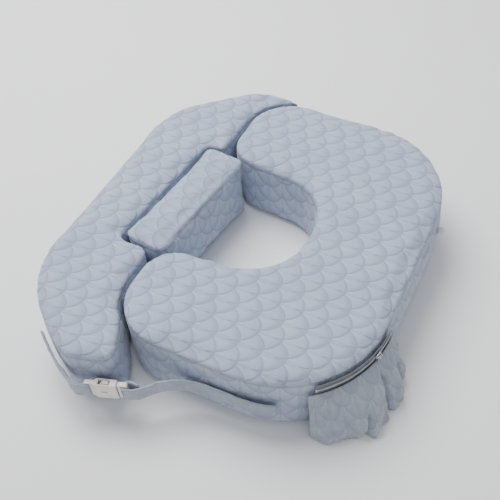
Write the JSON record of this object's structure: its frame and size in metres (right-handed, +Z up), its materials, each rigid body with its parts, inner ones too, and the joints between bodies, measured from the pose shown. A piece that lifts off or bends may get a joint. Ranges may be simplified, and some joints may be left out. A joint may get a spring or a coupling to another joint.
{
  "type": "nursing pillow",
  "caption": "C-shaped foam nursing pillow with a hinged padded back rest, lumbar block, zipped corner pocket and a buckled waist strap.",
  "frame": {"origin": "middle of the bounding box at floor level", "axes": "+Z up, -Y towards the closed front of the C, +Y towards the back rest, -X towards the buckle"},
  "size_m": [0.62, 0.551, 0.117],
  "materials": {
    "patterned_cover": "quilted jersey, light blue-grey with a fine white fan pattern",
    "plain_cover": "quilted jersey, the same print seen on the sides and underside",
    "foam": "open-cell polyurethane foam",
    "strap": "soft folded strap in the cover fabric",
    "zip_tape": "woven zip tape",
    "zip_metal": "satin grey",
    "buckle": "satin ivory moulded plastic",
    "label": "blank satin ribbon"
  },
  "bodies": {
    "cushion": {"main_foam_core": "foam", "main_top_panel": "patterned_cover", "main_bottom_panel": "plain_cover", "main_outer_band": "plain_cover", "main_inner_band": "plain_cover", "zip_tape_upper": "zip_tape", "zip_tape_lower": "zip_tape", "zip_teeth_upper": "zip_metal", "zip_teeth_lower": "zip_metal", "zip_stop_side": "zip_metal", "zip_stop_front": "zip_metal", "pocket_pouch": "plain_cover", "pocket_hem": "plain_cover", "strap_front": "strap", "buckle_plug": "buckle", "care_label": "label", "hinge_tape": "strap"},
    "back_rest": {"back_foam_core": "foam", "back_top_panel": "patterned_cover", "back_bottom_panel": "plain_cover", "back_side_band": "plain_cover", "lumbar_foam_core": "foam", "lumbar_top_panel": "patterned_cover", "lumbar_bottom_panel": "plain_cover", "lumbar_side_band": "patterned_cover", "strap_back": "strap", "buckle_socket": "buckle"},
    "zip_slider": {"zip_slider": "zip_metal"},
    "zip_pull": {"zip_pull": "zip_metal"},
    "buckle_arm_upper": {"buckle_arm_upper": "buckle"},
    "buckle_arm_lower": {"buckle_arm_lower": "buckle"}
  },
  "joints": [
    {"name": "back_rest_swing", "type": "hinge", "parent": "cushion", "child": "back_rest", "pos_m": [0.30383, 0.07912, 0.0575], "axis": [0, 0, -1], "range_deg": [0, 110]},
    {"name": "zip_slide", "type": "hinge", "parent": "cushion", "child": "zip_slider", "pos_m": [-0.07483, -0.07647, 0.092], "axis": [0, 0, 1], "range_deg": [-32, 10]},
    {"name": "zip_pull_swing", "type": "hinge", "parent": "zip_slider", "child": "zip_pull", "pos_m": [-0.11446, -0.23541, 0.092], "axis": [-0.9703, 0.2419, 0], "range_deg": [0, 110]},
    {"name": "buckle_arm_upper_squeeze", "type": "hinge", "parent": "cushion", "child": "buckle_arm_upper", "pos_m": [-0.28869, 0.06776, 0.068], "axis": [-0.9447, -0.328, 0], "range_deg": [0, 8], "stiffness_Nm_per_rad": 0.2},
    {"name": "buckle_arm_lower_squeeze", "type": "hinge", "parent": "cushion", "child": "buckle_arm_lower", "pos_m": [-0.28869, 0.06776, 0.05], "axis": [0.9447, 0.328, 0], "range_deg": [0, 8], "stiffness_Nm_per_rad": 0.2}
  ],
  "couplings": [
    {"joint": "buckle_arm_lower_squeeze", "follows": "buckle_arm_upper_squeeze", "ratio": 1}
  ]
}
